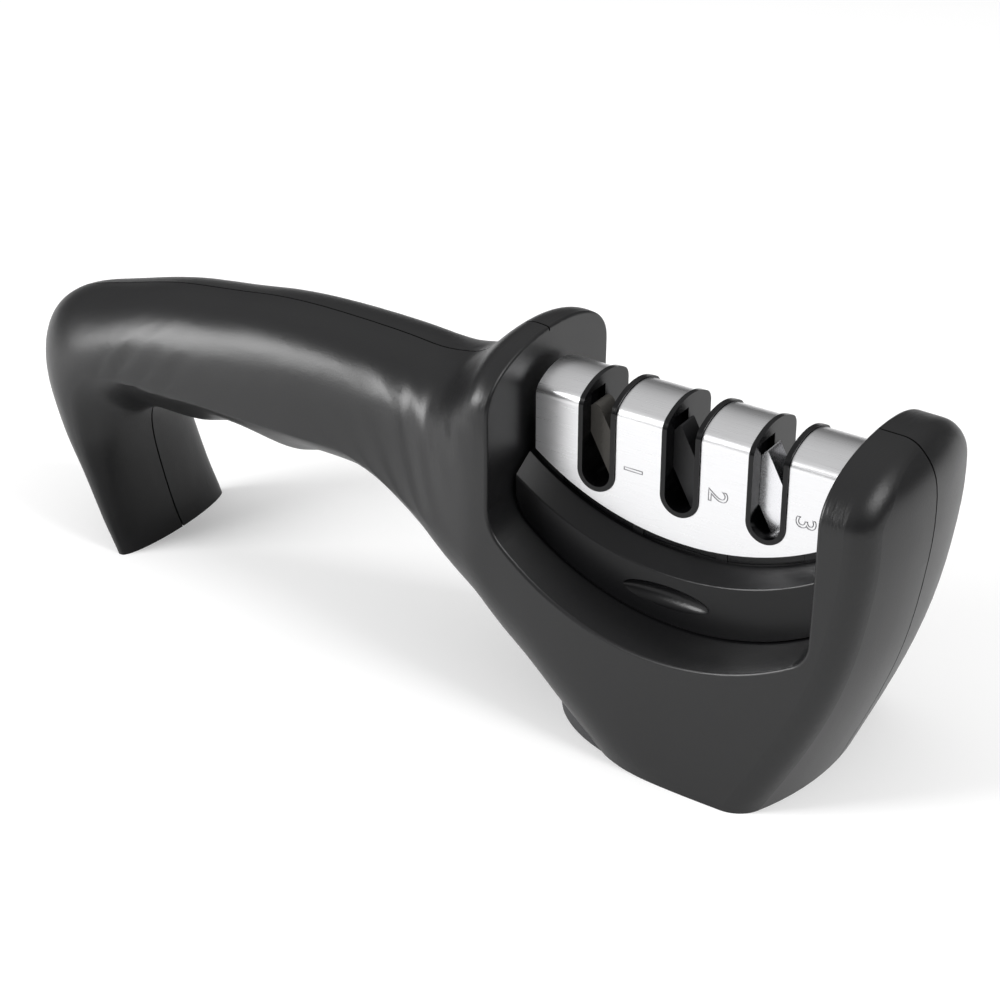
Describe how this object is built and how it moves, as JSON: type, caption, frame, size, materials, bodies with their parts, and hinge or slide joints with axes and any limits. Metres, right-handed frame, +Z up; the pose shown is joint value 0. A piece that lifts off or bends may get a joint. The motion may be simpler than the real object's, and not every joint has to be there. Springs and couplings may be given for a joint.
{
  "type": "knife sharpener",
  "caption": "Pull through knife sharpener: bowed grip, saddle head on a rubber foot, and a lift-out cartridge whose slots hold crossed abrasive bars.",
  "frame": {"origin": "on the table, midway along the body and on its parting plane", "axes": "+X along the length toward the sharpening head, +Z up, -Y toward the user's side of the slots"},
  "size_m": [0.2076, 0.0526, 0.0738],
  "materials": {
    "shell": "satin black moulded plastic",
    "base": "matt black plastic",
    "rubber": "matt dark grey rubber",
    "screw": "zinc plated steel",
    "cover": "brushed stainless steel",
    "carrier": "matt black plastic",
    "holder": "matt black plastic",
    "ceramic": "rough dark grey ceramic",
    "coarse": "dark diamond coated metal",
    "fine": "bright ground metal"
  },
  "bodies": {
    "body": {"front_shell": "shell", "rear_shell": "shell", "base_plate": "base", "foot_pad": "rubber", "base_screws": "screw", "handle_screws": "screw", "head_screws": "screw"},
    "cartridge": {"cartridge_cover": "cover", "cartridge_body": "carrier", "cartridge_base": "base", "cartridge_screws": "screw", "ceramic_holder": "holder", "coarse_holder": "holder", "fine_holder": "holder", "ceramic_bar_front": "ceramic", "ceramic_bar_rear": "ceramic", "coarse_bar_front": "coarse", "coarse_bar_rear": "coarse", "fine_bar_front": "fine", "fine_bar_rear": "fine"}
  },
  "joints": [
    {"name": "cartridge_lift", "type": "slide", "parent": "body", "child": "cartridge", "axis": [0, 0, 1], "range_m": [0, 0.06]}
  ]
}
